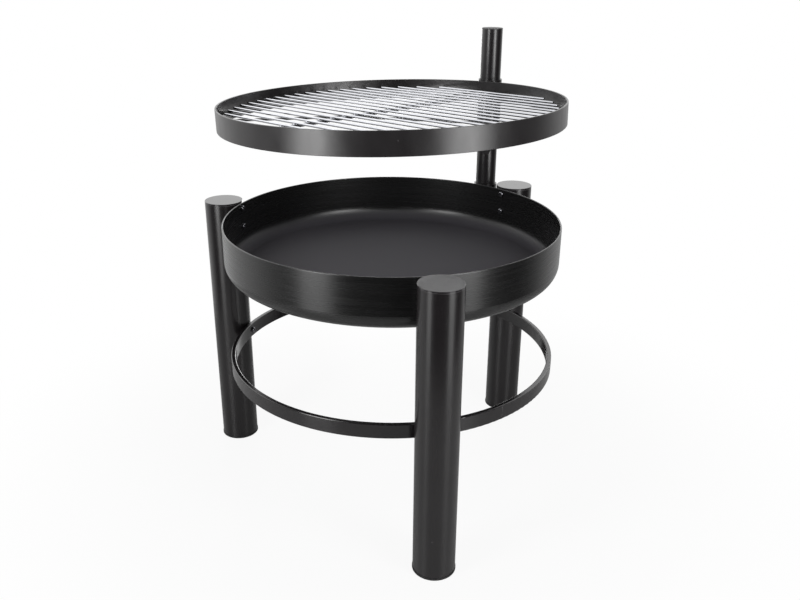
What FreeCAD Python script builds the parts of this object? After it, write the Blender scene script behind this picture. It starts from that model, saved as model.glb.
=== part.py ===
import FreeCAD, Part
import math
import os

# A round fire pit: a pressed bowl between three tube legs, a ring low on the legs, and a wire
# grate that lies in a rim and swings on a mast beside one leg.
# Millimetres and degrees, +Z up, standing on Z = 0, with the middle of its footprint at the origin.

# Legs
leg_height = 500.0
leg_diameter = 70.0
leg_wall = 2.0
leg_sides = ["front", "right", "left"]  # evenly spaced, in this order
front_leg_azimuth = -90.0
leg_cap_thickness = 3.0
leg_cap_edge = 0.5
foot_lip_height = 4.0
foot_lip_overhang = 0.8
foot_lip_edge = 1.0
foot_spigot_length = 25.0
foot_spigot_wall = 2.5

# Fire bowl
bowl_diameter = 595.0
bowl_depth = 89.5
bowl_sheet = 2.5
bowl_corner_radius = 27.0
bowl_lip_flat = 0.1  # left along the middle of the rounded rim
bowl_drop = 3.0  # rim below the tops of the legs

# Button head screws and the rivet nuts in the legs that take them
screw_diameter = 6.0
screw_length = 16.0
screw_head_diameter = 10.5
screw_head_height = 3.3
screw_head_edge = 1.6
screw_key_flats = 4.0
screw_key_depth = 2.0
rivet_nut_diameter = 9.0
rivet_nut_length = 12.0
rivet_flange_diameter = 13.0
rivet_flange_thickness = 0.5
bowl_screw_drop = 10.0  # upper screw below the bowl's rim
bowl_screw_spacing = 35.0

# Lower ring
ring_height = 25.5
ring_thickness = 8.0
ring_edge = 1.5  # rounding along the bar
ring_bottom = 225.5

# Mast and the socket that it stands in
mast_top = 800.0
mast_diameter = 40.0
mast_wall = 2.0
mast_cap_lip = 2.0
mast_cap_spigot_length = 15.0
mast_cap_spigot_wall = 2.0
socket_wall = 2.6
socket_length = 150.0
socket_drop = 5.0  # top of the socket below the tops of the legs
socket_floor_thickness = 4.0
socket_bowl_gap = 3.0
socket_leg_gap = 7.4
socket_web_thickness = 5.0
socket_web_height = 110.0

# Hex bolt across the mast that the sleeve rests on
stop_bolt_diameter = 10.0
stop_bolt_flats = 16.0
stop_bolt_head_height = 6.4
stop_nut_height = 8.4
stop_bolt_tail = 3.0  # thread that shows past the nut
stop_bolt_azimuth = -112.0  # way that the head faces

# Grate frame
grate_top = 702.0
grate_rim_diameter = 589.0
grate_rim_height = 37.0
grate_rim_thickness = 3.0
grate_swing = -1.0  # the grate rests swung this far about the mast from the middle of the bowl
grate_lean = 1.9  # the rim is welded to its sleeve this much askew, with its front side high
sleeve_wall = 2.6
sleeve_length = 128.0
sleeve_rise = 2.0  # sleeve above the rim
carrier_bar_width = 10.0
carrier_bar_thickness = 3.0
carrier_hub_offset = 71.0  # hub of the carrier from the middle of the grate
carrier_hub_angle = 139.5  # these angles are counted from the mast's side
carrier_left_angle = 134.0  # where the branches meet the rim
carrier_right_angle = -84.0
tab_width = 20.0
tab_thickness = 3.0
tab_reach = 18.0  # tab inwards from the rim
tab_wire = 8  # the tabs lie under the ends of this wire, counted from the middle one

# Wire grate
wire_diameter = 4.0
wire_pitch = 24.8
wire_circle_diameter = 560.0  # circle that the wires end on
wire_sink = 12.0  # tops of the wires below the top of the rim
cross_rod_angle = -10.0  # the wire grate lies loose in its rim, with its rod turned this way
wire_end_edge = 0.7
outer_wire_margin = 10.0  # outermost wire inside the wire circle, at least
cross_rod_diameter = 6.0
cross_rod_offset = 8.0  # rod from the middles of the wires

# Clearances
seat_gap = 0.1  # between pieces that are fastened together
push_gap = 0.15  # plugs in tubes, on each side
hole_gap = 0.2  # screws and nuts in their holes, on each side
rest_gap = 0.3  # between a loose piece and what it rests on
run_gap = 0.4  # mast in its socket and in the sleeve, on each side
sheet_edge = 0.8  # rounding along the edges of sheet and thin bar

# Levels and radii that follow
Vector = FreeCAD.Vector
UP = Vector(0, 0, 1)
leg_azimuths = {side: front_leg_azimuth + 360 * i / len(leg_sides) for i, side in enumerate(leg_sides)}
leg_radius = leg_diameter / 2
foot_radius = leg_radius + foot_lip_overhang
bowl_radius = bowl_diameter / 2
bowl_top = leg_height - bowl_drop
bowl_bottom = bowl_top - bowl_depth
rivet_stand_off = rivet_flange_thickness + 2 * seat_gap
leg_circle = bowl_radius + rivet_stand_off + leg_radius
ring_radius = leg_circle - leg_radius - rivet_stand_off
mast_radius = mast_diameter / 2
socket_radius = mast_radius + run_gap + socket_wall
socket_top = leg_height - socket_drop
socket_bottom = socket_top - socket_length
mast_circle = bowl_radius + socket_bowl_gap + socket_radius
mast_leg_distance = leg_radius + socket_leg_gap + socket_radius
sleeve_radius = mast_radius + run_gap + sleeve_wall
sleeve_top = grate_top + sleeve_rise
sleeve_bottom = sleeve_top - sleeve_length
stop_bolt_level = sleeve_bottom - rest_gap - stop_bolt_flats / 2
rim_radius = grate_rim_diameter / 2
rim_inside = rim_radius - grate_rim_thickness
wire_circle = wire_circle_diameter / 2
wire_level = grate_top - wire_sink - wire_diameter / 2
wire_underside = wire_level - wire_diameter / 2
cross_rod_level = wire_underside - seat_gap - cross_rod_diameter / 2
carrier_top = cross_rod_level - cross_rod_diameter / 2 - rest_gap
wires_each_side = int((wire_circle - outer_wire_margin) // wire_pitch)

# The mast stands where its socket keeps its gaps to the bowl and to the right leg
mast_leg_cosine = (leg_circle**2 + mast_circle**2 - mast_leg_distance**2) / (2 * leg_circle * mast_circle)
mast_azimuth = leg_azimuths["right"] + math.degrees(math.acos(mast_leg_cosine))
arm_azimuth = mast_azimuth + grate_swing
grate_arm = rim_radius + seat_gap + sleeve_radius  # mast to the middle of the grate

# The bowl's axis stands off the origin, because the front leg reaches further than the back
mast_back = mast_circle * math.sin(math.radians(mast_azimuth))
grate_back = mast_back - grate_arm * math.sin(math.radians(arm_azimuth))
lean_back = abs(math.sin(math.radians(grate_lean)) * math.cos(math.radians(arm_azimuth)))
rim_reach = rim_radius * math.sqrt(1 - lean_back**2) + grate_rim_height / 2 * lean_back
front_reach = leg_circle + foot_radius
back_reach = max(bowl_radius, grate_back + rim_reach, mast_back + sleeve_radius)
bowl_axis = Vector(0, (front_reach - back_reach) / 2, 0)

os.makedirs("parts", exist_ok=True)
same_level = 1e-6  # edges closer than this lie at one level


def save(name, shape):
    """Writes one piece, or a group of like pieces, under its own name."""
    shape.exportStep("parts/" + name + ".step")


def polar(radius, azimuth, level=0.0, centre=bowl_axis):
    """Point at a radius and an azimuth about an upright axis, at a level."""
    angle = math.radians(azimuth)
    return Vector(centre.x + radius * math.cos(angle), centre.y + radius * math.sin(angle), level)


def post(place, radius, bottom, top):
    """Upright round bar."""
    return Part.makeCylinder(radius, top - bottom, Vector(place.x, place.y, bottom))


def tube(place, radius, wall, bottom, top):
    """Upright round tube."""
    return post(place, radius, bottom, top).cut(post(place, radius - wall, bottom, top))


def rod(start, end, diameter):
    """Round bar between two points."""
    run = end - start
    return Part.makeCylinder(diameter / 2, run.Length, start, run)


def edges_at(shape, level):
    """Edges that lie wholly at one level."""
    flat = [e for e in shape.Edges if e.BoundBox.ZLength < same_level]
    return [e for e in flat if abs(e.BoundBox.ZMin - level) < same_level]


def flat_bar_ring(place, radius, bar, bottom, height, edge):
    """Flat bar on edge, bent round and welded, with rounded edges."""
    ring = tube(place, radius, bar, bottom, bottom + height)
    edges = edges_at(ring, bottom) + edges_at(ring, bottom + height)
    return ring.makeFillet(min(edge, bar / 3), edges)


def plug(place, lip_radius, lip, spigot_radius, spigot_wall, spigot_length, level, way):
    """Cap with a lip, and a hollow spigot that goes into a tube end; way is +1 up or -1 down."""
    lip_shape = post(place, lip_radius, min(level, level - way * lip), max(level, level - way * lip))
    inner_end = level + way * spigot_length
    spigot = tube(place, spigot_radius, spigot_wall, min(level, inner_end), max(level, inner_end))
    return lip_shape.fuse(spigot).removeSplitter()


def hex_bar(flats, start, length):
    """Hexagonal bar along +X with flats above and below."""
    corner = flats / math.sqrt(3)
    turns = [math.radians(60 * i) for i in range(7)]
    outline = [Vector(start, corner * math.cos(t), corner * math.sin(t)) for t in turns]
    return Part.Face(Part.makePolygon(outline)).extrude(Vector(length, 0, 0))


def round_bar(diameter, start, length):
    """Round bar along +X."""
    return Part.makeCylinder(diameter / 2, length, Vector(start, 0, 0), Vector(1, 0, 0))


def aim(shape, place, azimuth):
    """Turns a piece that was made along +X to an azimuth, and takes it to its place."""
    aimed = shape.copy()
    aimed.rotate(Vector(), UP, azimuth)
    aimed.translate(place)
    return aimed


def button_screw():
    """Screw along +X with its head's underside at X = 0 and a hex key recess."""
    head = round_bar(screw_head_diameter, -screw_head_height, screw_head_height)
    outer_edge = [e for e in head.Edges if abs(e.BoundBox.XMax + screw_head_height) < same_level]
    head = head.makeFillet(min(screw_head_edge, screw_head_height / 2), outer_edge)
    recess = hex_bar(screw_key_flats, -screw_head_height, screw_key_depth)
    return head.cut(recess).fuse(round_bar(screw_diameter, 0, screw_length)).removeSplitter()


def rivet_nut():
    """Threaded insert along +X with its flange's outer face at X = 0."""
    body = round_bar(rivet_nut_diameter, 0, rivet_flange_thickness + rivet_nut_length)
    flange = round_bar(rivet_flange_diameter, 0, rivet_flange_thickness)
    bore = round_bar(screw_diameter + seat_gap, 0, rivet_flange_thickness + rivet_nut_length)
    return body.fuse(flange).cut(bore).removeSplitter()


# Levels of the screws that go into each leg
bowl_screw_levels = [bowl_top - bowl_screw_drop, bowl_top - bowl_screw_drop - bowl_screw_spacing]
ring_screw_level = ring_bottom + ring_height / 2

# Legs, their caps and their feet
for side, azimuth in leg_azimuths.items():
    place = polar(leg_circle, azimuth)
    leg = tube(place, leg_radius, leg_wall, foot_lip_height, leg_height - leg_cap_thickness)
    hole = round_bar(rivet_nut_diameter + 2 * hole_gap, -leg_circle / 2, leg_circle / 2)
    for level in bowl_screw_levels + [ring_screw_level]:
        leg = leg.cut(aim(hole, polar(leg_circle, azimuth, level), azimuth))
    save(side + "_leg", leg)

    cap = post(place, leg_radius, leg_height - leg_cap_thickness, leg_height)
    save(side + "_leg_cap", cap.makeChamfer(leg_cap_edge, edges_at(cap, leg_height)))

    spigot_radius = leg_radius - leg_wall - push_gap
    foot = plug(place, foot_radius, foot_lip_height, spigot_radius, foot_spigot_wall,
                foot_spigot_length, foot_lip_height, 1)
    save(side + "_foot_cap", foot.makeChamfer(foot_lip_edge, edges_at(foot, 0)))

# Fire bowl: the wall and floor are one sheet, turned from an outline with a round corner
inner_corner = bowl_corner_radius - bowl_sheet
corner_centre = Vector(bowl_radius - bowl_corner_radius, 0, bowl_bottom + bowl_corner_radius)
diagonal = Vector(1, 0, -1).normalize()
outline = [
    Part.LineSegment(Vector(0, 0, bowl_bottom), Vector(corner_centre.x, 0, bowl_bottom)),
    Part.Arc(
        Vector(corner_centre.x, 0, bowl_bottom),
        corner_centre + diagonal * bowl_corner_radius,
        Vector(bowl_radius, 0, corner_centre.z),
    ),
    Part.LineSegment(Vector(bowl_radius, 0, corner_centre.z), Vector(bowl_radius, 0, bowl_top)),
    Part.LineSegment(Vector(bowl_radius, 0, bowl_top), Vector(bowl_radius - bowl_sheet, 0, bowl_top)),
    Part.LineSegment(
        Vector(bowl_radius - bowl_sheet, 0, bowl_top),
        Vector(bowl_radius - bowl_sheet, 0, corner_centre.z),
    ),
    Part.Arc(
        Vector(bowl_radius - bowl_sheet, 0, corner_centre.z),
        corner_centre + diagonal * inner_corner,
        Vector(corner_centre.x, 0, bowl_bottom + bowl_sheet),
    ),
    Part.LineSegment(
        Vector(corner_centre.x, 0, bowl_bottom + bowl_sheet),
        Vector(0, 0, bowl_bottom + bowl_sheet),
    ),
    Part.LineSegment(Vector(0, 0, bowl_bottom + bowl_sheet), Vector(0, 0, bowl_bottom)),
]
bowl = Part.Face(Part.Wire([line.toShape() for line in outline])).revolve(Vector(), UP, 360)
bowl.translate(bowl_axis)
bowl = bowl.makeFillet((bowl_sheet - bowl_lip_flat) / 2, edges_at(bowl, bowl_top))

# Lower ring, the same distance from the legs as the bowl
ring = flat_bar_ring(bowl_axis, ring_radius, ring_thickness, ring_bottom, ring_height, ring_edge)

# Screws through bowl and ring into the rivet nuts of each leg
bowl_screws = []
bowl_rivet_nuts = []
ring_screws = []
ring_rivet_nuts = []
screw_hole = round_bar(screw_diameter + 2 * hole_gap, bowl_radius / 2, leg_circle - bowl_radius / 2)
for azimuth in leg_azimuths.values():
    for level in bowl_screw_levels:
        bowl = bowl.cut(aim(screw_hole, polar(0, azimuth, level), azimuth))
        seat = polar(bowl_radius - bowl_sheet - seat_gap, azimuth, level)
        bowl_screws.append(aim(button_screw(), seat, azimuth))
        bowl_rivet_nuts.append(aim(rivet_nut(), polar(bowl_radius + seat_gap, azimuth, level), azimuth))
    ring = ring.cut(aim(screw_hole, polar(0, azimuth, ring_screw_level), azimuth))
    seat = polar(ring_radius - ring_thickness - seat_gap, azimuth, ring_screw_level)
    ring_screws.append(aim(button_screw(), seat, azimuth))
    flange_place = polar(ring_radius + seat_gap, azimuth, ring_screw_level)
    ring_rivet_nuts.append(aim(rivet_nut(), flange_place, azimuth))
save("fire_bowl", bowl)
save("lower_ring", ring)
save("bowl_screws", Part.makeCompound(bowl_screws))
save("bowl_rivet_nuts", Part.makeCompound(bowl_rivet_nuts))
save("ring_screws", Part.makeCompound(ring_screws))
save("ring_rivet_nuts", Part.makeCompound(ring_rivet_nuts))

# Socket that the mast stands in, its floor, and the strip that joins it to the right leg
mast_place = polar(mast_circle, mast_azimuth)
save("mast_socket", tube(mast_place, socket_radius, socket_wall, socket_bottom, socket_top))
floor_underside = socket_bottom - socket_floor_thickness
save("socket_floor", post(mast_place, socket_radius, floor_underside, socket_bottom))

right_leg_place = polar(leg_circle, leg_azimuths["right"])
to_socket = mast_place - right_leg_place
web_bottom = (socket_top + socket_bottom - socket_web_height) / 2
web_start = Vector(0, -socket_web_thickness / 2, web_bottom)
web = Part.makeBox(to_socket.Length, socket_web_thickness, socket_web_height, web_start)
web = aim(web, right_leg_place, math.degrees(math.atan2(to_socket.y, to_socket.x)))
web = web.cut(post(right_leg_place, leg_radius + seat_gap, 0, leg_height))
web = web.cut(post(mast_place, socket_radius + seat_gap, 0, leg_height))
save("socket_web", web)

# Mast, its cap, and the bolt that stops the sleeve
mast_bottom = socket_bottom + rest_gap
mast_end = mast_top - mast_cap_lip
mast = tube(mast_place, mast_radius, mast_wall, mast_bottom, mast_end)
bolt_place = Vector(mast_place.x, mast_place.y, stop_bolt_level)
bolt_hole = round_bar(stop_bolt_diameter + 2 * hole_gap, -mast_diameter, 2 * mast_diameter)
save("mast", mast.cut(aim(bolt_hole, bolt_place, stop_bolt_azimuth)))
mast_spigot_radius = mast_radius - mast_wall - push_gap
cap = plug(mast_place, mast_radius, mast_cap_lip, mast_spigot_radius, mast_cap_spigot_wall,
           mast_cap_spigot_length, mast_end, -1)
save("mast_cap", cap.makeFillet(min(sheet_edge, mast_cap_lip / 2), edges_at(cap, mast_top)))

bolt_seat = mast_radius + seat_gap
nut_outer = -bolt_seat - stop_nut_height
shank = round_bar(stop_bolt_diameter, nut_outer - stop_bolt_tail, bolt_seat - nut_outer + stop_bolt_tail)
bolt = shank.fuse(hex_bar(stop_bolt_flats, bolt_seat, stop_bolt_head_height)).removeSplitter()
save("stop_bolt", aim(bolt, bolt_place, stop_bolt_azimuth))
nut = hex_bar(stop_bolt_flats, nut_outer, stop_nut_height)
nut = nut.cut(round_bar(stop_bolt_diameter + seat_gap, nut_outer, stop_nut_height))
save("stop_nut", aim(nut, bolt_place, stop_bolt_azimuth))

# Sleeve on the mast, and the rim that is welded to it
save("grate_sleeve", tube(mast_place, sleeve_radius, sleeve_wall, sleeve_bottom, sleeve_top))
grate_centre = polar(grate_arm, arm_azimuth + 180, 0, mast_place)
rim_bottom = grate_top - grate_rim_height


def save_leaning(name, shape):
    """Writes a piece of the grate, leaned about the line from the mast to the middle of the grate."""
    leaning = shape.copy()
    middle = grate_centre + UP * (grate_top - grate_rim_height / 2)
    leaning.rotate(middle, grate_centre - mast_place, grate_lean)
    save(name, leaning)


rim = flat_bar_ring(
    grate_centre, rim_radius, grate_rim_thickness, rim_bottom, grate_rim_height, sheet_edge
)
save_leaning("grate_rim", rim)

# Carrier under the wires: an arm from the mast's side of the rim and two branches to the rim
inside_rim = post(grate_centre, rim_inside - seat_gap, rim_bottom, grate_top)


def grate_point(radius, turn, level=0.0):
    """Point in the grate, with the turn counted from the mast's side."""
    return polar(radius, arm_azimuth + turn, level, grate_centre)


carrier_hub = grate_point(carrier_hub_offset, carrier_hub_angle)


def carrier_bar(end_turn, back, side_gap):
    """Flat bar from the hub, or a little back from it, to the inside of the rim."""
    run = grate_point(rim_radius, end_turn) - carrier_hub
    width = carrier_bar_width + 2 * side_gap
    start = Vector(-back, -width / 2, carrier_top - carrier_bar_thickness)
    bar = Part.makeBox(run.Length + back, width, carrier_bar_thickness, start)
    return aim(bar, carrier_hub, math.degrees(math.atan2(run.y, run.x))).common(inside_rim)


save_leaning("grate_carrier_arm", carrier_bar(0, carrier_bar_width, 0))
arm_room = carrier_bar(0, carrier_bar_width, seat_gap)
save_leaning("grate_carrier_left", carrier_bar(carrier_left_angle, 0, 0).cut(arm_room))
save_leaning("grate_carrier_right", carrier_bar(carrier_right_angle, 0, 0).cut(arm_room))

# Wires, all square to the one cross rod under them
for number in range(-wires_each_side, wires_each_side + 1):
    offset = number * wire_pitch
    end_turn = math.degrees(math.acos(offset / wire_circle))
    start = grate_point(wire_circle, cross_rod_angle - end_turn, wire_level)
    end = grate_point(wire_circle, cross_rod_angle + end_turn, wire_level)
    wire = rod(start, end, wire_diameter)
    end_edges = [e for e in wire.Edges if isinstance(e.Curve, Part.Circle)]
    wire = wire.makeFillet(min(wire_end_edge, wire_diameter / 3), end_edges)
    save_leaning("grate_wire_%02d" % (number + wires_each_side + 1), wire)
rod_end_turn = math.degrees(math.asin(cross_rod_offset / wire_circle))
rod_start = grate_point(wire_circle, cross_rod_angle + 180 - rod_end_turn, cross_rod_level)
rod_end = grate_point(wire_circle, cross_rod_angle + rod_end_turn, cross_rod_level)
save_leaning("grate_cross_rod", rod(rod_start, rod_end, cross_rod_diameter))

# Tabs on the rim's inside, under the ends of one wire on each side of the middle one
tabs = []
tab_turn = math.degrees(math.acos(min(tab_wire, wires_each_side) * wire_pitch / wire_circle))
tab_top = wire_underside - rest_gap
tab_start = Vector(rim_inside - tab_reach, -tab_width / 2, tab_top - tab_thickness)
tab = Part.makeBox(tab_reach + grate_rim_thickness, tab_width, tab_thickness, tab_start)
for turn in (tab_turn, -tab_turn, 180 - tab_turn, 180 + tab_turn):
    tabs.append(aim(tab, grate_centre, arm_azimuth + cross_rod_angle + turn).common(inside_rim))
save_leaning("rim_tabs", Part.makeCompound(tabs))
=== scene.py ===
import math

import bmesh
import bpy
import numpy as np
from mathutils import Matrix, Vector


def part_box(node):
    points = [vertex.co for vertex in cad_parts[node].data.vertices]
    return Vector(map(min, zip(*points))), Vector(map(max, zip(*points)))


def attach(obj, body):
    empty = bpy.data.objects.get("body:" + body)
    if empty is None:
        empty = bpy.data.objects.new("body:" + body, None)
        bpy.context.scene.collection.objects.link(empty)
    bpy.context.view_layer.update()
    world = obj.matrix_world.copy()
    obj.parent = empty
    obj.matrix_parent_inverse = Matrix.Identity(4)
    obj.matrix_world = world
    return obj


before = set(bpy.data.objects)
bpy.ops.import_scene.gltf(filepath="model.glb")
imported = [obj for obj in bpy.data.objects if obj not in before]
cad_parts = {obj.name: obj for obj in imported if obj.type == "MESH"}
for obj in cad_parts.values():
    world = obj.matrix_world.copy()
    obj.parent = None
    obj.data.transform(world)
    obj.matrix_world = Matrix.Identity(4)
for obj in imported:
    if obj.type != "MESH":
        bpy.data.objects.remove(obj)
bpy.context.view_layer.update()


# Legs: three lengths of round steel tube, closed at the top by welded discs that are ground flush.
# They are sprayed with satin black heat paint over the fine lines that drawing leaves along a tube.
def linear(code):
    """Linear RGBA of an sRGB hex code: c / 12.92 up to 0.04045, ((c + 0.055) / 1.055) ** 2.4 above."""
    srgb = np.array([int(code[i:i + 2], 16) for i in (1, 3, 5)]) / 255
    channels = np.where(srgb <= 0.04045, srgb / 12.92, ((srgb + 0.055) / 1.055) ** 2.4)
    return (*channels.tolist(), 1.0)


def add_node(tree, kind, sockets, **settings):
    """Adds a node; sockets maps an input's name or number to a value or to the output that feeds it."""
    node = tree.nodes.new(kind)
    for name, value in settings.items():
        setattr(node, name, value)
    for key, value in sockets.items():
        if isinstance(value, bpy.types.NodeSocket):
            tree.links.new(value, node.inputs[key])
        else:
            node.inputs[key].default_value = value
    return node


def empty_material(name):
    """A material with no nodes yet, and its tree."""
    material = bpy.data.materials.new(name)
    material.use_nodes = True
    material.node_tree.nodes.clear()
    return material, material.node_tree


def per_metre(millimetres):
    """Texture scale that gives a pattern features of this size."""
    return 1000 / millimetres


def rubbed_and_highlit_edges(tree, place):
    """Share of paint that handling rubs smoother and paler, about a millimetre wide on edges and in patches
    some 25 mm long. The paler tone there is partly wear and partly a painted highlight along the edges. A
    bevel turns the normal there, so its dot product with the true normal falls below 1."""
    rub_and_highlight_mm = 1.2
    patch_mm = 25
    least_rubbed_and_highlit = 0.25
    turned = add_node(tree, "ShaderNodeBevel", {"Radius": rub_and_highlight_mm / 1000}, samples=4)
    true = add_node(tree, "ShaderNodeNewGeometry", {})
    same = add_node(tree, "ShaderNodeVectorMath", {
        0: turned.outputs[0], 1: true.outputs["Normal"],
    }, operation="DOT_PRODUCT")
    edge = add_node(tree, "ShaderNodeMapRange", {
        "Value": same.outputs["Value"], "From Min": 0.99, "From Max": 0.85,
    })
    patch = add_node(tree, "ShaderNodeTexNoise", {
        "Vector": place, "Scale": per_metre(patch_mm), "Detail": 2.0,
    })
    handled_and_highlit = add_node(tree, "ShaderNodeMapRange", {
        "Value": patch.outputs[0], "From Min": 0.35, "From Max": 0.6, "To Min": least_rubbed_and_highlit, "To Max": 1.0,
    })
    return add_node(tree, "ShaderNodeMath", {
        0: edge.outputs[0], 1: handled_and_highlit.outputs[0],
    }, operation="MULTIPLY").outputs[0]


def dust_nibs(tree, place):
    """Dust caught in the wet paint, 1 on a nib and 0 beside it. Nibs are under 1 mm across; at 2.5 mm they
    still show in a picture where 2 mm is a pixel."""
    spacing_mm = 45
    nib_mm = 2.5
    apart = add_node(tree, "ShaderNodeTexVoronoi", {"Vector": place, "Scale": per_metre(spacing_mm)})
    return add_node(tree, "ShaderNodeMapRange", {
        "Value": apart.outputs["Distance"],
        "From Min": nib_mm / 2 / spacing_mm, "From Max": nib_mm / 4 / spacing_mm,
    }).outputs[0]


def up_facing_overspray_and_light(tree, coordinates, below):
    """Share of dusty overspray and of painted light from above: more the more a face looks up, and none above
    a level, below which it fades in over 6 mm."""
    fade = 0.006
    looks_up = add_node(tree, "ShaderNodeSeparateXYZ", {0: coordinates["Normal"]})
    facing = add_node(tree, "ShaderNodeMapRange", {
        "Value": looks_up.outputs["Z"], "From Min": 0.1, "From Max": 0.95,
    }, interpolation_type="SMOOTHSTEP")
    level = add_node(tree, "ShaderNodeSeparateXYZ", {0: coordinates["Object"]})
    inside = add_node(tree, "ShaderNodeMapRange", {
        "Value": level.outputs["Z"], "From Min": below, "From Max": below - fade,
    })
    return add_node(tree, "ShaderNodeMath", {
        0: facing.outputs[0], 1: inside.outputs[0],
    }, operation="MULTIPLY").outputs[0]


def sprayed_heat_paint(name, grain_mm, satin, uneven=0.035, marks_mm=0.03, blacks=("#100e0f", "#161415"),
                       worn_and_highlight_tone="#3a383a", overspray_and_top_light=None):
    """Silicone heat paint, sprayed thin and baked. The eye gets a near black with a soft gloss, satin plus or
    minus uneven, a faint orange peel and nibs of dust. Marks of the metal under it are marks_mm deep, and
    their sizes along X, Y and Z are grain_mm. Edges are smoother where handling rubs them, and paler in the
    given wear tone, which is partly wear and partly a painted highlight along the edges; dust nibs take the
    same tone. The last argument holds the tone and gloss of dusty overspray on faces that look up, and the
    level that it stays below; its lighter tone is partly that dust and partly painted light from above."""
    material, tree = empty_material(name)
    coordinates = add_node(tree, "ShaderNodeTexCoord", {}).outputs
    place = coordinates["Object"]
    stretched = add_node(tree, "ShaderNodeMapping", {
        "Vector": place, "Scale": [per_metre(size) for size in grain_mm],
    })
    grain = add_node(tree, "ShaderNodeTexNoise", {
        "Vector": stretched.outputs[0], "Scale": 1.0, "Detail": 3.0,
    }).outputs[0]
    cloud_mm = 70
    cloud = add_node(tree, "ShaderNodeTexNoise", {
        "Vector": place, "Scale": per_metre(cloud_mm), "Detail": 2.0,
    })
    tone = add_node(tree, "ShaderNodeMix", {
        0: cloud.outputs[0], 6: linear(blacks[0]), 7: linear(blacks[1]),
    }, data_type="RGBA").outputs[2]
    gloss = add_node(tree, "ShaderNodeMapRange", {
        "Value": grain, "From Min": 0.3, "From Max": 0.7, "To Min": satin - uneven, "To Max": satin + uneven,
    }).outputs[0]
    # Lighter, duller tone on faces that look up, below a level: partly overspray dust, partly painted light
    # from above
    if overspray_and_top_light:
        dust_and_lit = up_facing_overspray_and_light(tree, coordinates, overspray_and_top_light["below"])
        tone = add_node(tree, "ShaderNodeMix", {
            0: dust_and_lit, 6: tone, 7: linear(overspray_and_top_light["tone"]),
        }, data_type="RGBA").outputs[2]
        gloss = add_node(tree, "ShaderNodeMix", {0: dust_and_lit, 2: gloss, 3: overspray_and_top_light["gloss"]}).outputs[0]
    # Paler edges: partly wear, partly a painted highlight along the edges; they are smoother there too
    rubbed_and_highlit = rubbed_and_highlit_edges(tree, place)
    nib = dust_nibs(tree, place)
    pale = add_node(tree, "ShaderNodeMath", {0: rubbed_and_highlit, 1: nib}, operation="MAXIMUM")
    colour = add_node(tree, "ShaderNodeMix", {
        0: pale.outputs[0], 6: tone, 7: linear(worn_and_highlight_tone),
    }, data_type="RGBA")
    rubbed_smoother = 0.12
    roughness = add_node(tree, "ShaderNodeMath", {
        0: rubbed_and_highlit, 1: -rubbed_smoother, 2: gloss,
    }, operation="MULTIPLY_ADD")
    # Real orange peel is 1 to 2 mm wide; at 4 mm it still shows in a picture where 2 mm is a pixel
    peel_mm = 4
    peel_depth_mm = 0.04
    nib_height_mm = 0.2
    peel = add_node(tree, "ShaderNodeTexNoise", {
        "Vector": place, "Scale": per_metre(peel_mm), "Detail": 1.0,
    })
    marks = add_node(tree, "ShaderNodeBump", {
        "Height": grain, "Strength": 0.5, "Distance": marks_mm / 1000,
    })
    film = add_node(tree, "ShaderNodeBump", {
        "Height": peel.outputs[0], "Normal": marks.outputs[0], "Strength": 0.5,
        "Distance": peel_depth_mm / 1000,
    })
    surface = add_node(tree, "ShaderNodeBump", {
        "Height": nib, "Normal": film.outputs[0], "Strength": 0.5, "Distance": nib_height_mm / 1000,
    })
    shader = add_node(tree, "ShaderNodeBsdfPrincipled", {
        "Base Color": colour.outputs[2], "Roughness": roughness.outputs[0],
        "Normal": surface.outputs[0], "IOR": 1.5,
    })
    add_node(tree, "ShaderNodeOutputMaterial", {"Surface": shader.outputs[0]})
    return material


def dress(material, *names):
    """Gives CAD nodes a finish."""
    for name in names:
        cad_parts[name].material_slots[0].material = material


leg_paint = sprayed_heat_paint("heat_paint_on_leg_tube", grain_mm=(7, 7, 240), satin=0.25, uneven=0.03)
sides = ("front", "right", "left")
dress(leg_paint, *[side + "_leg" for side in sides])

# Leg caps: flat steel discs on the tops of the legs, ground smooth and sprayed together with them. The
# paint flows out on a level face, so it has more gloss there than on the tubes. The pale tone on their edges
# is a painted highlight along each cap's rim, beside a little wear.
cap_paint = sprayed_heat_paint("heat_paint_on_ground_steel", grain_mm=(30, 30, 30), satin=0.14,
                               uneven=0.02, worn_and_highlight_tone="#626062")
dress(cap_paint, *[side + "_leg_cap" for side in sides])


# Foot caps: moulded polyethylene plugs pushed into the bottoms of the legs, with a lip that the
# fire pit stands on. The plastic is duller than the paint and has a fine moulded grain.
def moulded_polyethylene(name):
    """Black polyethylene from a sparked mould: a dull grey black with a fine, even grain."""
    material, tree = empty_material(name)
    place = add_node(tree, "ShaderNodeTexCoord", {}).outputs["Object"]
    spark_mm = 1.5
    spark_depth_mm = 0.06
    spark = add_node(tree, "ShaderNodeTexNoise", {
        "Vector": place, "Scale": per_metre(spark_mm), "Detail": 2.0,
    })
    gloss = add_node(tree, "ShaderNodeMapRange", {
        "Value": spark.outputs[0], "From Min": 0.3, "From Max": 0.7, "To Min": 0.45, "To Max": 0.58,
    })
    grain = add_node(tree, "ShaderNodeBump", {
        "Height": spark.outputs[0], "Strength": 0.4, "Distance": spark_depth_mm / 1000,
    })
    shader = add_node(tree, "ShaderNodeBsdfPrincipled", {
        "Base Color": linear("#161616"), "Roughness": gloss.outputs[0],
        "Normal": grain.outputs[0], "IOR": 1.51,
    })
    add_node(tree, "ShaderNodeOutputMaterial", {"Surface": shader.outputs[0]})
    return material


black_plastic = moulded_polyethylene("moulded_black_polyethylene")
dress(black_plastic, *[side + "_foot_cap" for side in sides])

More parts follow.
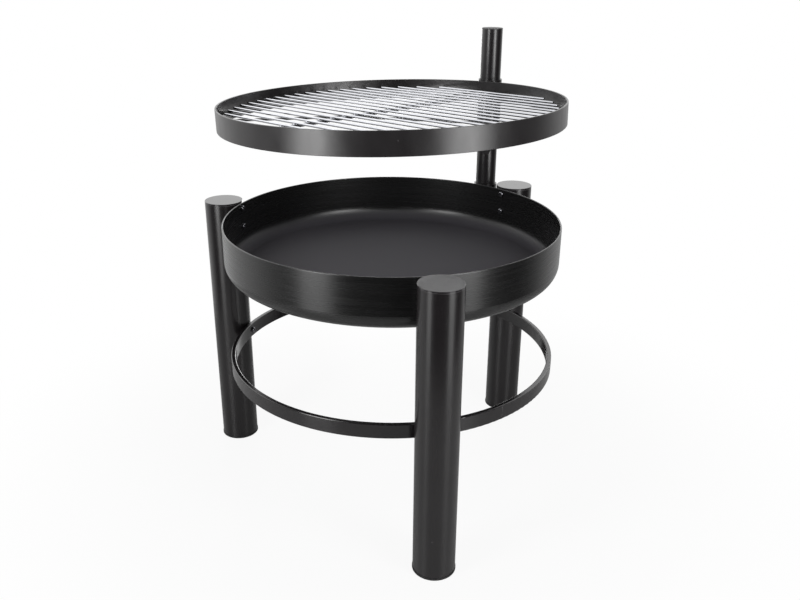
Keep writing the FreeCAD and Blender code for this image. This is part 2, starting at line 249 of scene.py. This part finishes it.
# Fire bowl: one steel sheet, spun to a flat floor, a round corner and an upright wall. The roller leaves
# fine lines round the wall, which the paint all but hides, and dusty overspray dulls the floor. A lighter
# tone on the faces that look up inside the bowl is partly that dust and partly painted light from above.
bowl_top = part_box("fire_bowl")[1][2]
bowl_lip = 0.004
# Tone of the bowl's up-facing inside faces: partly overspray dust, partly painted light from above
bowl_floor_dust_and_light = {"tone": "#2a282d", "gloss": 0.76, "below": bowl_top - bowl_lip}
bowl_paint = sprayed_heat_paint("heat_paint_on_spun_steel", grain_mm=(160, 160, 5), satin=0.27,
                                uneven=0.026, marks_mm=0.008, blacks=("#080808", "#0d0d0d"),
                                overspray_and_top_light=bowl_floor_dust_and_light)
dress(bowl_paint, "fire_bowl")


# Bowl screws: steel button heads with a hex recess, blackened in a bath. The bath leaves a dark grey
# film that is thin on the edges, where bare steel shines through.
def plated_metal(name, tones, spot_mm, detail, glosses):
    """Metal with a thin film on it: a mirror whose tone and gloss drift between two values, in spots of
    this size."""
    material, tree = empty_material(name)
    place = add_node(tree, "ShaderNodeTexCoord", {}).outputs["Object"]
    spot = add_node(tree, "ShaderNodeTexNoise", {
        "Vector": place, "Scale": per_metre(spot_mm), "Detail": detail,
    })
    tone = add_node(tree, "ShaderNodeMix", {
        0: spot.outputs[0], 6: linear(tones[0]), 7: linear(tones[1]),
    }, data_type="RGBA")
    gloss = add_node(tree, "ShaderNodeMapRange", {
        "Value": spot.outputs[0], "To Min": glosses[0], "To Max": glosses[1],
    })
    shader = add_node(tree, "ShaderNodeBsdfPrincipled", {
        "Base Color": tone.outputs[2], "Metallic": 1.0, "Roughness": gloss.outputs[0],
    })
    add_node(tree, "ShaderNodeOutputMaterial", {"Surface": shader.outputs[0]})
    return material


# Black oxide gives the eye a dark metal with a soft gloss and small glints
dark_steel = plated_metal("black_oxide_steel", ("#66666a", "#95959a"), spot_mm=2, detail=3.0,
                          glosses=(0.14, 0.3))
dress(dark_steel, "bowl_screws")

# Rivet nuts: threaded steel inserts that are squeezed into the legs and take the screws. Only their
# flanges show, as a thin line between leg and bowl. Bright zinc is pale, faintly blue and cloudy.
zinc = plated_metal("bright_zinc_plate", ("#aeb2b6", "#c9cccf"), spot_mm=3, detail=2.0, glosses=(0.25, 0.42))
dress(zinc, "bowl_rivet_nuts", "ring_rivet_nuts")

# Lower ring: a flat bar bent on the flat into a circle, butt welded, ground and sprayed. It braces
# the legs and takes one screw into each.
bar_paint = sprayed_heat_paint("heat_paint_on_rolled_bar", grain_mm=(50, 50, 6), satin=0.17, uneven=0.03)
dress(bar_paint, "lower_ring")
dress(dark_steel, "ring_screws")


def weld_bead(path, out, radius):
    """Weld metal along a path: a round section carried along it. With u from -1 to 1 from end to end, the
    section's radius is radius * sqrt(1 - u ** 12), so both ends close, times 1 + cos(ripple) / 12. The
    ripple lags at the sides of the bead, where the puddle cools first."""
    ripple_length = 0.0035
    ripple_lag = 1.4
    section_points = 18
    along = np.gradient(path, axis=0)
    along /= np.linalg.norm(along, axis=1, keepdims=True)
    across = np.cross(along, out)
    across /= np.linalg.norm(across, axis=1, keepdims=True)
    lift = np.cross(across, along)
    travelled = np.append(0, np.cumsum(np.linalg.norm(np.diff(path, axis=0), axis=1)))
    u = 2 * travelled / travelled[-1] - 1
    turn = np.linspace(0, 2 * np.pi, section_points, endpoint=False)
    phase = 2 * np.pi * travelled[:, None] / ripple_length + ripple_lag * np.cos(turn)
    size = radius * np.sqrt(np.clip(1 - u**12, 0, 1))[:, None] * (1 + np.cos(phase) / 12)
    section = np.cos(turn)[:, None] * lift[:, None, :] + np.sin(turn)[:, None] * across[:, None, :]
    return path[:, None, :] + size[..., None] * section


def straight(start, end):
    """Points half a millimetre apart from start to end."""
    spacing = 0.0005
    count = int(np.linalg.norm(np.subtract(end, start)) / spacing) + 2
    return np.linspace(start, end, count)


def add_piece(name, grids, material, body):
    """One piece from grids of points. Each grid closes across its columns, and rows that shrink to a point
    are merged there: point (i, j) makes a face with (i, j + 1), (i + 1, j + 1) and (i + 1, j)."""
    points = []
    faces = []
    start = 0
    for grid in grids:
        rows, columns = grid.shape[:2]
        i, j = np.meshgrid(np.arange(rows - 1), np.arange(columns), indexing="ij")
        k = (j + 1) % columns
        corners = [i * columns + j, i * columns + k, (i + 1) * columns + k, (i + 1) * columns + j]
        faces.append(np.stack(corners, axis=-1).reshape(-1, 4) + start)
        points.append(grid.reshape(-1, 3))
        start += rows * columns
    mesh = bpy.data.meshes.new(name)
    mesh.from_pydata(np.concatenate(points).tolist(), [], np.concatenate(faces).tolist())
    shape = bmesh.new()
    shape.from_mesh(mesh)
    bmesh.ops.remove_doubles(shape, verts=shape.verts, dist=1e-6)
    bmesh.ops.recalc_face_normals(shape, faces=shape.faces)
    shape.to_mesh(mesh)
    shape.free()
    mesh.shade_smooth()
    mesh.materials.append(material)
    piece = bpy.data.objects.new(name, mesh)
    bpy.context.scene.collection.objects.link(piece)
    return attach(piece, body)


def box_corners(name):
    """Lowest and highest corner of a CAD node's box."""
    low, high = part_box(name)
    return np.array(low), np.array(high)


def box_centre(name):
    """Middle of a CAD node's box."""
    low, high = box_corners(name)
    return (low + high) / 2


# The ring's butt weld: a low upright bead on the outside and the inside, ground almost flush. It is
# at the front right, a little past the front leg.
ring_low, ring_high = box_corners("lower_ring")
ring_centre = box_centre("lower_ring")
ring_radius = (ring_high[0] - ring_low[0]) / 2
ring_thickness = 0.008
ring_seam_azimuth = math.radians(-64.5)
seam_radius = 0.0024
seam_proud = 0.0004
seam_end = 0.0016
seam_way = np.array([math.cos(ring_seam_azimuth), math.sin(ring_seam_azimuth), 0])
seam_beads = []
for wall, face in ((ring_radius, 1), (ring_radius - ring_thickness, -1)):
    foot = ring_centre + seam_way * (wall + face * (seam_proud - seam_radius))
    low = np.array([foot[0], foot[1], ring_low[2] + seam_end])
    high = np.array([foot[0], foot[1], ring_high[2] - seam_end])
    seam_beads.append(weld_bead(straight(low, high), seam_way, seam_radius))
add_piece("ring_butt_weld", seam_beads, bar_paint, "standing_frame")

# Mast socket: a short tube beside the right leg, closed below by a disc and joined to the leg by an
# upright strip. Fillet welds run down both sides of the strip and round the disc.
tube_paint = sprayed_heat_paint("heat_paint_on_thin_tube", grain_mm=(7, 7, 240), satin=0.28)
sheet_paint = sprayed_heat_paint("heat_paint_on_cut_strip", grain_mm=(30, 30, 30), satin=0.36)
dress(tube_paint, "mast_socket")
dress(sheet_paint, "socket_floor", "socket_web")
socket_low, socket_high = box_corners("mast_socket")
web_low, web_high = box_corners("socket_web")
leg_low, leg_high = box_corners("right_leg")
mast_axis = box_centre("mast_socket")
leg_axis = box_centre("right_leg")
socket_radius = (socket_high[0] - socket_low[0]) / 2
leg_radius = (leg_high[0] - leg_low[0]) / 2
level_only = np.array([1, 1, 0])
web_half = 0.0025
fillet_radius = 0.0026
fillet_stand = 0.2 * fillet_radius
web_way = (mast_axis - leg_axis) * level_only
web_way /= np.linalg.norm(web_way)
web_side = np.array([-web_way[1], web_way[0], 0])
socket_beads = []
for axis, reach, way in ((leg_axis, leg_radius, 1), (mast_axis, socket_radius, -1)):
    for side in (1, -1):
        foot = axis + way * web_way * (reach + fillet_stand) + side * web_side * (web_half + fillet_stand)
        low = np.array([foot[0], foot[1], web_low[2] + fillet_radius])
        high = np.array([foot[0], foot[1], web_high[2] - fillet_radius])
        socket_beads.append(weld_bead(straight(low, high), side * web_side + way * web_way, fillet_radius))
floor_weld_radius = 0.0016
floor_weld_points = 260
floor_weld_reach = socket_radius - 0.4 * floor_weld_radius
floor_weld_turn = np.linspace(0, 2 * np.pi, floor_weld_points)[:, None]
floor_path = mast_axis * level_only + np.hstack([
    floor_weld_reach * np.cos(floor_weld_turn),
    floor_weld_reach * np.sin(floor_weld_turn),
    np.full_like(floor_weld_turn, socket_low[2]),
])
socket_beads.append(weld_bead(floor_path, np.array([0, 0, 1.0]), floor_weld_radius))
add_piece("socket_welds", socket_beads, tube_paint, "standing_frame")

# Mast: a steel tube that turns in the socket, with a moulded plug in its top. A hex bolt and nut go
# through it, and the grate's sleeve rests on them.
dress(tube_paint, "mast")
dress(black_plastic, "mast_cap")
dress(sheet_paint, "stop_bolt", "stop_nut")

# Grate rim: a flat bar bent into a circle and welded to a sleeve that slides on the mast. Three flat
# bars under the wires stiffen it, and four tabs carry the wires' ends. Flames have made their paint matt.
rim_paint = sprayed_heat_paint("heat_paint_on_rim_bar", grain_mm=(25, 25, 60), satin=0.33)
dress(rim_paint, "grate_rim")
dress(tube_paint, "grate_sleeve")
dulled_paint = sprayed_heat_paint("heat_paint_dulled_by_flames", grain_mm=(12, 12, 12), satin=0.82,
                                  uneven=0.08, blacks=("#0b0b0b", "#131211"))
dress(dulled_paint, "grate_carrier_arm", "grate_carrier_left", "grate_carrier_right", "rim_tabs")


def vertices(name):
    """A CAD node's vertices, one to a row."""
    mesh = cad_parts[name].data
    places = np.empty(3 * len(mesh.vertices))
    mesh.vertices.foreach_get("co", places)
    return places.reshape(-1, 3)


def bar_line(name):
    """Middle, direction and half length of a straight bar: its vertices spread most along the bar."""
    places = vertices(name)
    middle = (places.max(axis=0) + places.min(axis=0)) / 2
    way = np.linalg.svd(places - middle, full_matrices=False)[2][0]
    reach = (places - middle) @ way
    return middle + way * (reach.max() + reach.min()) / 2, way, (reach.max() - reach.min()) / 2


# The grate leans a little: the cross rod and the wires give its own three directions
rod_middle, rod_way = bar_line("grate_cross_rod")[:2]
wires = sorted(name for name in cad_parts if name.startswith("grate_wire_"))
wire_way = bar_line(wires[len(wires) // 2])[1]
grate_up = np.cross(rod_way, wire_way)
grate_up *= np.sign(grate_up[2])
rim_centre = box_centre("grate_rim")
from_centre = vertices("grate_rim") - rim_centre
rim_half_height = np.max(from_centre @ grate_up)
from_axis = np.linalg.norm(from_centre - np.outer(from_centre @ grate_up, grate_up), axis=1)
rim_radius = from_axis.max()
rim_inside = from_axis.min()

# Upright beads on both sides of the line where the rim touches the sleeve. A bead's centre keeps the
# same distance from the rim's outside and from the sleeve.
rim_weld_radius = 0.003
rim_weld_sink = 0.0008
arm_way = (mast_axis - rim_centre) * level_only
arm_length = np.linalg.norm(arm_way)
arm_way /= arm_length
arm_side = np.array([-arm_way[1], arm_way[0], 0])
to_rim = rim_radius + rim_weld_radius - rim_weld_sink
to_sleeve = arm_length - rim_radius + rim_weld_radius - rim_weld_sink
ahead = (arm_length**2 + to_rim**2 - to_sleeve**2) / (2 * arm_length)
aside = math.sqrt(to_rim**2 - ahead**2)
half_run = grate_up * (rim_half_height - rim_weld_radius)
rim_beads = []
for side in (1, -1):
    foot = rim_centre + arm_way * ahead + arm_side * side * aside
    run = straight(foot - half_run, foot + half_run)
    rim_beads.append(weld_bead(run, side * arm_side, rim_weld_radius))
add_piece("rim_to_sleeve_welds", rim_beads, rim_paint, "grate_frame")

# Beads along the undersides of the tabs and of the carrier's ends, where they meet the inside of the rim
inside_weld_radius = 0.0018
inside_weld_points = 60


def inside_bead(places):
    """Bead on the rim's inside, as long as the end of the bar or tab that has these vertices is wide."""
    level = (places - rim_centre) @ grate_up
    flat = places - rim_centre - np.outer(level, grate_up)
    end = flat[np.linalg.norm(flat, axis=1) > rim_inside - 2 * inside_weld_radius]
    middle = (end.max(axis=0) + end.min(axis=0)) / 2
    out = middle / np.linalg.norm(middle)
    sideways = np.cross(grate_up, out)
    half_turn = np.ptp(end @ sideways) / 2 / rim_inside
    turn = np.linspace(-half_turn, half_turn, inside_weld_points)[:, None]
    ring = (np.cos(turn) * out + np.sin(turn) * sideways) * (rim_inside - inside_weld_radius / 2)
    return weld_bead(rim_centre + ring + level.min() * grate_up, -grate_up - out, inside_weld_radius)


inside_beads = [inside_bead(vertices("grate_carrier_" + end)) for end in ("arm", "left", "right")]
tab_places = vertices("rim_tabs")
tab_offsets = tab_places - rim_centre
for rod_end in (1, -1):
    for wire_end in (1, -1):
        own = (tab_offsets @ rod_way * rod_end > 0) & (tab_offsets @ wire_way * wire_end > 0)
        inside_beads.append(inside_bead(tab_places[own]))

# Beads where the carrier's two branches meet its arm
arm_bar_way = bar_line("grate_carrier_arm")[1]
hub_run = 0.006
for branch in ("grate_carrier_left", "grate_carrier_right"):
    middle, way, half = bar_line(branch)
    inner = middle - way * half * np.sign((middle - rim_centre) @ way)
    top = np.max((vertices(branch) - inner) @ grate_up)
    joint = inner + grate_up * (top - inside_weld_radius / 2)
    run = straight(joint - arm_bar_way * hub_run, joint + arm_bar_way * hub_run)
    inside_beads.append(weld_bead(run, grate_up, inside_weld_radius))
add_piece("carrier_and_tab_welds", inside_beads, dulled_paint, "grate_frame")

# Wire grate: drawn steel wires laid across one rod, spot welded at each crossing, then plated with
# bright chrome. It lies loose on the rim's tabs and lifts out. The chrome is a mirror with dull patches.
chrome = plated_metal("bright_chrome_on_wire", ("#9c9da1", "#babbbf"), spot_mm=12, detail=3.0,
                      glosses=(0.04, 0.14))
dress(chrome, "grate_cross_rod", *wires)


def weld_spot(centre):
    """Squeezed weld metal at a crossing: an ellipsoid with its half sizes along the rod, the wire and the
    way up, centre + along * sin(a) * cos(b) + across * sin(a) * sin(b) + up * cos(a)."""
    along = 0.0026 * rod_way
    across = 0.0032 * wire_way
    upright = 0.0020 * grate_up
    a = np.linspace(0, np.pi, 9)[:, None, None]
    b = np.linspace(0, 2 * np.pi, 14, endpoint=False)[None, :, None]
    return centre + along * np.sin(a) * np.cos(b) + across * np.sin(a) * np.sin(b) + upright * np.cos(a)


spots = []
for name in wires:
    wire_middle = bar_line(name)[0]
    crossing = wire_middle - wire_way * ((wire_middle - rod_middle) @ wire_way)
    wire_radius = np.max((vertices(name) - wire_middle) @ grate_up)
    spots.append(weld_spot(crossing - grate_up * wire_radius))
add_piece("wire_crossing_welds", spots, chrome, "wire_grate")

# Floor: a round white table top that the fire pit stands on. The camera sees it nearly white, with the
# soft shadow of the fire pit, and the paint reflects it as it is lit.
bowl_axis = box_centre("fire_bowl") * level_only
table_radius = 1.0
table_drop = 0.0002
table_sides = 96
table_turn = np.linspace(0, 2 * np.pi, table_sides, endpoint=False)
table_edge = np.stack([np.cos(table_turn), np.sin(table_turn), 0 * table_turn], axis=1) * table_radius
table_points = bowl_axis + table_edge - [0, 0, table_drop]
table_mesh = bpy.data.meshes.new("table_top")
table_mesh.from_pydata(table_points.tolist(), [], [list(range(table_sides))])
table = bpy.data.objects.new("table_top", table_mesh)
bpy.context.scene.collection.objects.link(table)
white_near = 0.3
white_far = 0.98
least_white = 0.92
white_top, tree = empty_material("white_table_top")
place = add_node(tree, "ShaderNodeTexCoord", {}).outputs["Object"]
far = add_node(tree, "ShaderNodeVectorMath", {0: place}, operation="LENGTH")
whiteness = add_node(tree, "ShaderNodeMapRange", {
    "Value": far.outputs["Value"], "From Min": white_near, "From Max": white_far,
    "To Min": least_white, "To Max": 1.0,
}, interpolation_type="SMOOTHSTEP")
seen = add_node(tree, "ShaderNodeLightPath", {})
shown = add_node(tree, "ShaderNodeMath", {
    0: seen.outputs["Is Camera Ray"], 1: whiteness.outputs[0],
}, operation="MULTIPLY")
lacquer = add_node(tree, "ShaderNodeBsdfPrincipled", {
    "Base Color": linear("#b4b4b4"), "Roughness": 0.3, "IOR": 1.33,
})
white = add_node(tree, "ShaderNodeEmission", {"Color": (1, 1, 1, 1), "Strength": 1.0})
mixed = add_node(tree, "ShaderNodeMixShader", {
    0: shown.outputs[0], 1: lacquer.outputs[0], 2: white.outputs[0],
})
add_node(tree, "ShaderNodeOutputMaterial", {"Surface": mixed.outputs[0]})
table_mesh.materials.append(white_top)

# Camera: at the photograph's place and heading, found from the edges of the legs, bowl and grate.
# Distances are from the bowl's axis.
camera_azimuth = math.radians(-102.2)
camera_distance = 1.4358
camera_height = 0.9324
heading = math.radians(77.19)
pitch = math.radians(-22.45)
roll = math.radians(0.43)
image_width = 800
focal_pixels = 840.5
to_camera = np.array([math.cos(camera_azimuth), math.sin(camera_azimuth), 0])
level_forward = np.array([math.cos(heading), math.sin(heading), 0])
level_right = np.array([math.sin(heading), -math.cos(heading), 0])
forward = level_forward * math.cos(pitch) + np.array([0, 0, math.sin(pitch)])
level_up = np.cross(level_right, forward)
right = level_right * math.cos(roll) + level_up * math.sin(roll)
up = level_up * math.cos(roll) - level_right * math.sin(roll)
eye = bowl_axis + to_camera * camera_distance + np.array([0, 0, camera_height])
camera_data = bpy.data.cameras.new("camera")
camera_data.sensor_width = 36.0
camera_data.lens = focal_pixels / image_width * camera_data.sensor_width
camera = bpy.data.objects.new("camera", camera_data)
camera.matrix_world = Matrix.Translation(eye) @ Matrix((right, up, -forward)).transposed().to_4x4()
bpy.context.scene.collection.objects.link(camera)
bpy.context.scene.camera = camera
bpy.context.scene.view_settings.view_transform = "Standard"

# Lights: a tall softbox on each side of the camera, past the edge of the table. The cloth is bright down
# to the table and falls off below it. A low, weaker one stands behind the fire pit.
across_view = np.array([-to_camera[1], to_camera[0], 0])


def softbox(name, place, target, width, height, radiance):
    """Area light that faces a point; its power is radiance * pi * area."""
    data = bpy.data.lights.new(name, "AREA")
    data.shape = "RECTANGLE"
    data.size = width
    data.size_y = height
    data.energy = radiance * math.pi * width * height
    facing = (target - place) / np.linalg.norm(target - place)
    lamp_right = np.cross(facing, [0, 0, 1])
    lamp_right /= np.linalg.norm(lamp_right)
    turned = Matrix((lamp_right, np.cross(lamp_right, facing), -facing)).transposed().to_4x4()
    lamp = bpy.data.objects.new(name, data)
    lamp.matrix_world = Matrix.Translation(place) @ turned
    bpy.context.scene.collection.objects.link(lamp)
    lamp.visible_camera = False


# Aside of the camera's line, width and radiance of each softbox; bottom, height and share of its parts
softboxes = {"left": (-1.0, 0.48, 10.5), "right": (0.9, 0.5, 9.5)}
cloth_parts = {"bright": (0.2, 1.7, 1.0), "falling": (-0.55, 0.75, 0.2)}
softbox_ahead = 1.0
for name, (aside, width, radiance) in softboxes.items():
    for part, (bottom, height, share) in cloth_parts.items():
        level = np.array([0, 0, bottom + height / 2])
        place = bowl_axis + across_view * aside + to_camera * softbox_ahead + level
        softbox(name + "_softbox_" + part, place, bowl_axis + level, width, height, radiance * share)
back_distance = 1.45
back_level = np.array([0, 0, 0.1])
back_place = bowl_axis - to_camera * back_distance + back_level
softbox("back_softbox", back_place, bowl_axis + back_level, width=0.42, height=1.3, radiance=4.5)

# Surroundings: a white backdrop behind the fire pit, brightest a little above the horizon, and a dark
# room round the camera, which black paint and chrome reflect. Matt surfaces get an even, plain light.
room_turn = math.radians(14)
room_light = 0.03
plain_light = 0.26
room_way = to_camera * math.cos(room_turn) + across_view * math.sin(room_turn)
world = bpy.data.worlds.new("studio")
bpy.context.scene.world = world
world.use_nodes = True
# Light Path tells reflections apart only in rays that the surfaces send out
world.cycles.sampling_method = "NONE"
tree = world.node_tree
tree.nodes.clear()
way = add_node(tree, "ShaderNodeTexCoord", {}).outputs["Generated"]
towards_room = add_node(tree, "ShaderNodeVectorMath", {
    0: way, 1: tuple(room_way),
}, operation="DOT_PRODUCT")
backdrop = add_node(tree, "ShaderNodeMapRange", {
    "Value": towards_room.outputs["Value"], "From Min": 0.25, "From Max": -0.45,
    "To Min": room_light, "To Max": 1.0,
}, interpolation_type="SMOOTHSTEP")
# The backdrop's light by the height of the way looked: it rises past the horizon and ends near the top
height = add_node(tree, "ShaderNodeSeparateXYZ", {0: way}).outputs["Z"]
rising = add_node(tree, "ShaderNodeMapRange", {
    "Value": height, "From Min": -0.3, "From Max": 0.4, "To Min": 0.6, "To Max": 1.7,
}, interpolation_type="SMOOTHSTEP")
ending = add_node(tree, "ShaderNodeMapRange", {
    "Value": height, "From Min": 0.6, "From Max": 0.95, "To Min": 1.0, "To Max": 0.3,
}, interpolation_type="SMOOTHSTEP")
# It is brighter towards the left
towards_left = add_node(tree, "ShaderNodeVectorMath", {
    0: way, 1: tuple(-across_view),
}, operation="DOT_PRODUCT")
leftward = add_node(tree, "ShaderNodeMapRange", {
    "Value": towards_left.outputs["Value"], "From Min": 0.25, "From Max": 0.6, "To Min": 1.0, "To Max": 1.4,
}, interpolation_type="SMOOTHSTEP")
reflected = backdrop.outputs[0]
for share in (leftward, rising, ending):
    reflected = add_node(tree, "ShaderNodeMath", {
        0: reflected, 1: share.outputs[0],
    }, operation="MULTIPLY").outputs[0]
seen = add_node(tree, "ShaderNodeLightPath", {})
mirrored = add_node(tree, "ShaderNodeMath", {
    0: seen.outputs["Is Glossy Ray"], 1: seen.outputs["Is Transmission Ray"],
}, operation="MAXIMUM")
lit = add_node(tree, "ShaderNodeMix", {0: mirrored.outputs[0], 2: plain_light, 3: reflected})
strength = add_node(tree, "ShaderNodeMix", {0: seen.outputs["Is Camera Ray"], 2: lit.outputs[0], 3: 1.0})
sky = add_node(tree, "ShaderNodeBackground", {"Color": (1, 1, 1, 1), "Strength": strength.outputs[0]})
add_node(tree, "ShaderNodeOutputWorld", {"Surface": sky.outputs[0]})
